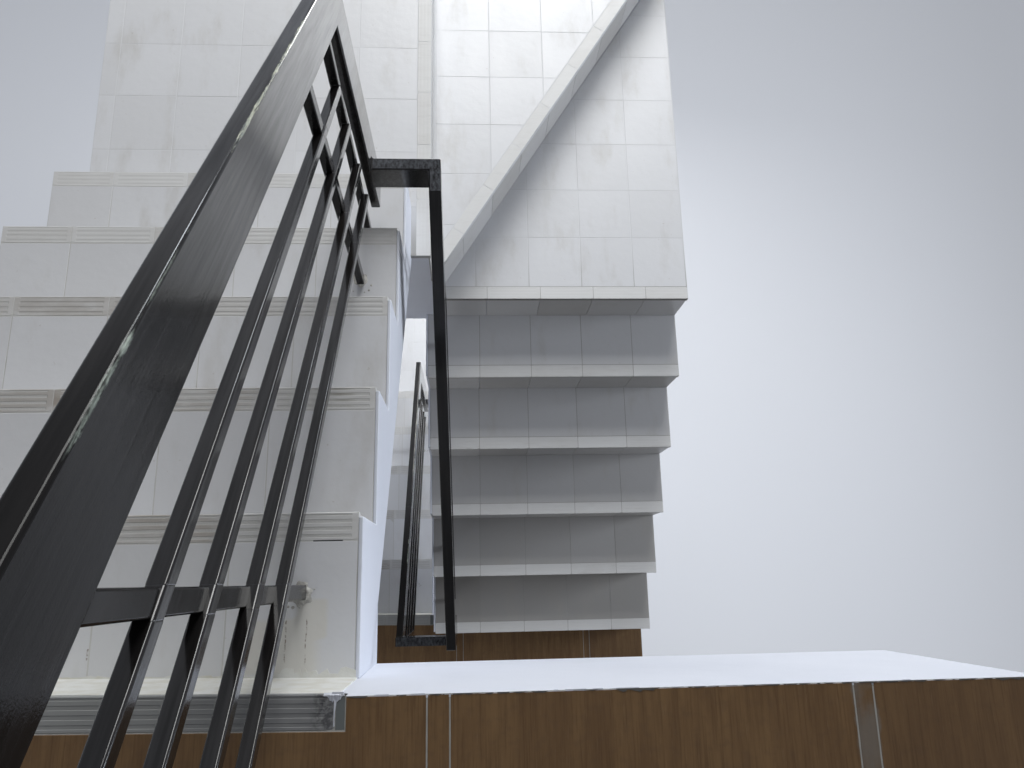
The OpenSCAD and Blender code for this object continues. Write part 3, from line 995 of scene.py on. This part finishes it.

# Mortar smeared by hand around the feet of the posts where they are let into
# the treads, with a few drops of it on the tiles.

mortar = finish_named("mortar")
MORTAR = (0.66, 0.65, 0.61)
MORTAR_DIRTY = (0.36, 0.35, 0.33)
surface(
    {
        "Base Color": mix(cloud(0.012, detail=4.0).band(0.35, 0.6), MORTAR, MORTAR_DIRTY),
        "Roughness": 0.85,
        "Normal": bump(cloud(0.004), 0.0015),
    }
)


def smear(pieces, middle, radius, height, uneven):
    """A low heap with a wavering outline."""
    count, rings = 32, 5
    points = [middle + Vector((0, 0, height))]
    for j in range(1, rings + 1):
        for i in range(count):
            turn = 2 * math.pi * i / count
            way = Vector((math.cos(turn), math.sin(turn), 0.0))
            wave = noise.noise(middle * 37.0 + way * 1.7)
            lump = noise.noise((middle + way * radius * j / rings) * 160.0)
            reach = radius * (1 - uneven + uneven * min(1.0, max(0.0, wave + 0.6)))
            z = height * (1 - (j / rings) ** 2) * min(1.0, 0.75 + 0.5 * lump)
            points.append(middle + way * reach * j / rings + Vector((0, 0, z)))
    faces = [[0, 1 + i, 1 + (i + 1) % count] for i in range(count)]
    for j in range(rings - 1):
        for i in range(count):
            k = (i + 1) % count
            a = 1 + j * count
            faces.append([a + i, a + count + i, a + count + k, a + k])
    pieces.add(points, faces, 0, [0.0] * len(points), 0.0)


FOOT = 0.06
feet = []
for vertex in nodes["post_mortar"].data.vertices:
    p = vertex.co.copy()
    same = next((foot for foot in feet if (p - foot[0]).length <= FOOT), None)
    if same:
        same.append(p)
    else:
        feet.append([p])
heaps, drops = Pieces(), Pieces()
for foot in feet:
    low = Vector([min(p[i] for p in foot) for i in range(3)])
    high = Vector([max(p[i] for p in foot) for i in range(3)])
    middle = (low + high) / 2
    middle.z = low.z
    smear(heaps, middle, (high.x - low.x) / 2, high.z - low.z, 0.4)
    for i in range(4):
        way = Euler((0, 0, chance.uniform(3.9, 6.6))).to_matrix() @ Vector((1, 0, 0))
        spot = middle + way * chance.uniform(0.022, 0.038)
        smear(drops, spot, chance.uniform(0.0015, 0.0035), 0.001, 0.2)
heaped = heaps.build("mortar_smears", [mortar], smooth=True)
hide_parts("post_mortar")
drops.build("mortar_drops", [mortar], smooth=True)

# Studio: a pale floor, an even sky, a wide soft lamp beyond the far end, a
# level one that draws the edges of the bars, a weaker one for the storey
# below, one at the side and one behind the viewer.


def looked_at():
    """1 for what the camera sees, straight or in a reflection."""
    kinds = ("Camera", "Glossy", "Transmission")
    seen, mirrored, through = (Shade.node("LightPath", out=f"Is {kind} Ray") for kind in kinds)
    return seen + mirrored + through


floor_paint = finish_named("studio_floor")
surface(
    {
        "Base Color": mix(cloud(2.0), (0.50, 0.51, 0.535), (0.485, 0.495, 0.52)),
        "Roughness": 0.8,
        "Emission Color": mix(looked_at(), (0.0, 0.0, 0.0), (0.25, 0.265, 0.295)),
        "Emission Strength": 1.0,
    }
)
bpy.ops.mesh.primitive_plane_add(size=60, location=(0, 0, -0.001))
floor = bpy.context.object
floor.name = "studio_floor"
floor.data.materials.append(floor_paint)

world = bpy.data.worlds.new("studio")
bpy.context.scene.world = world
world.use_nodes = True
Shade.tree = world.node_tree
world.node_tree.nodes.clear()
height = axis("Z", Shade.node("TexCoord", out="Generated"))
light = mix(height.band(-0.3, 0.8), (0.075, 0.076, 0.082), (0.13, 0.132, 0.14))
sky = Shade.node("Background", None, {"Color": light})
pale = Shade.node("Background", None, {"Color": (0.54, 0.56, 0.61)})
both = Shade.node("MixShader", None, {0: looked_at(), 1: sky, 2: pale})
Shade.node("OutputWorld", None, {"Surface": both})


def lamp(name, spot, target, size, power, colour):
    data = bpy.data.lights.new(name, "AREA")
    data.shape = "SQUARE"
    data.size = size
    data.energy = power
    data.color = colour
    obj = bpy.data.objects.new(name, data)
    obj.location = spot
    way = Vector(target) - Vector(spot)
    obj.rotation_euler = way.to_track_quat("-Z", "Y").to_euler()
    obj.visible_camera = False
    bpy.context.scene.collection.objects.link(obj)


lamp("far_lamp", (0.3, 5.8, 7.8), (0.1, 1.4, 4.2), 2.8, 280, (1.0, 1.0, 0.985))
lamp("level_lamp", (0.3, 5.6, 6.0), (-0.6, 0.3, 5.9), 1.0, 40, (0.88, 0.94, 1.0))
lamp("low_lamp", (0.2, 4.3, 2.9), (-0.3, 0.9, 2.2), 1.6, 80, (1.0, 1.0, 0.985))
lamp("side_lamp", (5.0, 1.0, 4.9), (-0.3, 0.9, 4.7), 1.6, 165, (0.88, 0.93, 1.0))
lamp("back_lamp", (-5.5, -5.5, 4.5), (0.0, 0.0, 3.5), 4.0, 120, (1.0, 1.0, 1.0))

camera = bpy.data.cameras.new("camera")
camera.sensor_width = 36.0
camera.lens = 27.75
camera.clip_start = 0.01
camera.clip_end = 200.0
viewer = bpy.data.objects.new("camera", camera)
viewer.location = (-0.33890, 0.09733, 6.78227)
viewer.rotation_euler = Euler([math.radians(a) for a in (14.11298, -3.05865, -1.16435)], "XYZ")
bpy.context.scene.collection.objects.link(viewer)
bpy.context.scene.camera = viewer
bpy.context.scene.view_settings.view_transform = "Standard"
